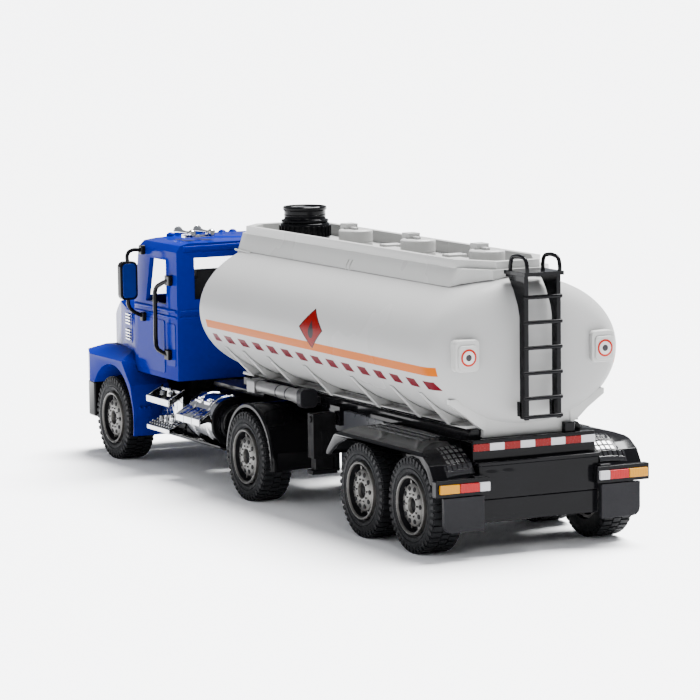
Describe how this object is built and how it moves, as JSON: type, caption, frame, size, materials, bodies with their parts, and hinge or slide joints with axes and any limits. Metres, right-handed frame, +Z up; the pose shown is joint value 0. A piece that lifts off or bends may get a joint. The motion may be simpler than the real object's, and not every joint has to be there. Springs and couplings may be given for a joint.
{
  "type": "toy tanker truck",
  "caption": "Toy tractor unit and semi-trailer with an elliptical fuel tank, ladder, filler cap, steering front wheels, rolling axles and folding landing legs.",
  "frame": {"origin": "centre of the bounding box on the ground plane under the tyres", "axes": "+X to the front of the tractor, +Y to its left, +Z up"},
  "size_m": [0.378, 0.1088, 0.128],
  "materials": {
    "cab_blue": "glossy royal blue moulded plastic",
    "tank_pale": "glossy warm pale grey moulded plastic",
    "black_gloss": "glossy black moulded plastic",
    "black_matt": "satin charcoal plastic",
    "bright_chrome": "vacuum-plated bright chrome on plastic",
    "kingpin_steel": "turned steel",
    "pipe_grey": "satin mid grey plastic",
    "tyre_rubber": "matt charcoal soft rubber",
    "hub_grey": "metallic grey-beige painted plastic",
    "lamp_amber": "amber, red and white lamp strip",
    "clear_plastic": "clear moulded plastic"
  },
  "bodies": {
    "tractor": {"tractor_frame": "black_gloss", "cab_shell": "cab_blue", "cab_interior": "black_matt", "windscreen": "clear_plastic", "bonnet_and_wings": "cab_blue", "grille": "black_gloss", "headlamp_left": "clear_plastic", "headlamp_right": "clear_plastic", "front_bumper": "black_gloss", "mirror_left": "black_gloss", "mirror_right": "black_gloss", "grab_handle_left": "black_gloss", "grab_handle_right": "black_gloss", "air_horns": "bright_chrome", "cab_steps_left": "bright_chrome", "cab_steps_right": "bright_chrome", "fuel_tank_left": "bright_chrome", "fuel_tank_right": "bright_chrome", "drive_wing_left": "black_gloss", "drive_wing_right": "black_gloss", "fifth_wheel": "black_matt", "front_axle_beam": "black_gloss"},
    "trailer": {"trailer_frame": "black_gloss", "kingpin": "kingpin_steel", "tank_shell": "tank_pale", "tank_cradle": "tank_pale", "tank_top": "tank_pale", "hatch_front": "tank_pale", "hatch_middle": "tank_pale", "hatch_rear": "tank_pale", "ladder": "black_gloss", "discharge_pipe": "pipe_grey", "trailer_wing_left": "black_gloss", "trailer_wing_right": "black_gloss", "tail_panel": "black_gloss", "lamp_bar_left": "black_gloss", "lamp_bar_right": "black_gloss", "lamp_lens_left": "lamp_amber", "lamp_lens_right": "lamp_amber", "mudflap_left": "black_matt", "mudflap_right": "black_matt"},
    "steer_left": {"steering_knuckle_left": "black_matt"},
    "steer_right": {"steering_knuckle_right": "black_matt"},
    "tie_rod": {"tie_rod": "black_matt"},
    "wheel_front_left": {"front_hub_left": "hub_grey", "front_tyre_left": "tyre_rubber"},
    "wheel_front_right": {"front_hub_right": "hub_grey", "front_tyre_right": "tyre_rubber"},
    "drive_wheels": {"drive_axle": "hub_grey", "drive_tyre_left": "tyre_rubber", "drive_tyre_right": "tyre_rubber"},
    "trailer_front_wheels": {"trailer_front_axle": "hub_grey", "trailer_front_tyre_left": "tyre_rubber", "trailer_front_tyre_right": "tyre_rubber"},
    "trailer_rear_wheels": {"trailer_rear_axle": "hub_grey", "trailer_rear_tyre_left": "tyre_rubber", "trailer_rear_tyre_right": "tyre_rubber"},
    "landing_legs": {"landing_gear": "black_gloss"},
    "filler_plug": {"filler_plug": "black_matt"},
    "filler_cap": {"filler_cap": "black_gloss"}
  },
  "joints": [
    {"name": "trailer_yaw", "type": "hinge", "parent": "tractor", "child": "trailer", "pos_m": [-0.003, 0, 0.046], "axis": [0, 0, 1], "range_deg": [-45, 45]},
    {"name": "steer_left", "type": "hinge", "parent": "tractor", "child": "steer_left", "pos_m": [0.147, 0.029, 0.02], "axis": [0, 0, 1], "range_deg": [-18, 18]},
    {"name": "steer_right", "type": "hinge", "parent": "tractor", "child": "steer_right", "pos_m": [0.147, -0.029, 0.02], "axis": [0, 0, 1], "range_deg": [-18, 18]},
    {"name": "tie_rod_shift", "type": "slide", "parent": "tractor", "child": "tie_rod", "axis": [0, 1, 0], "range_m": [-0.0043, 0.0043]},
    {"name": "front_left_spin", "type": "hinge", "parent": "steer_left", "child": "wheel_front_left", "pos_m": [0.147, 0.04, 0.02], "axis": [0, 1, 0], "continuous": true},
    {"name": "front_right_spin", "type": "hinge", "parent": "steer_right", "child": "wheel_front_right", "pos_m": [0.147, -0.04, 0.02], "axis": [0, 1, 0], "continuous": true},
    {"name": "drive_spin", "type": "hinge", "parent": "tractor", "child": "drive_wheels", "pos_m": [-0.003, 0, 0.02], "axis": [0, 1, 0], "continuous": true},
    {"name": "trailer_front_spin", "type": "hinge", "parent": "trailer", "child": "trailer_front_wheels", "pos_m": [-0.116, 0, 0.02], "axis": [0, 1, 0], "continuous": true},
    {"name": "trailer_rear_spin", "type": "hinge", "parent": "trailer", "child": "trailer_rear_wheels", "pos_m": [-0.1607, 0, 0.02], "axis": [0, 1, 0], "continuous": true},
    {"name": "legs_fold", "type": "hinge", "parent": "trailer", "child": "landing_legs", "pos_m": [-0.059, 0, 0.043], "axis": [0, 1, 0], "range_deg": [0, 90]},
    {"name": "cap_lift", "type": "slide", "parent": "trailer", "child": "filler_plug", "axis": [0, 0, 1], "range_m": [0, 0.003]},
    {"name": "cap_turn", "type": "hinge", "parent": "filler_plug", "child": "filler_cap", "pos_m": [0.03, 0, 0.12], "axis": [0, 0, 1], "range_deg": [0, 360]}
  ],
  "couplings": [
    {"joint": "steer_right", "follows": "steer_left", "ratio": 1},
    {"joint": "tie_rod_shift", "follows": "steer_left", "m_per_rad": -0.0134},
    {"joint": "cap_lift", "follows": "cap_turn", "m_per_rad": 0.000477}
  ]
}
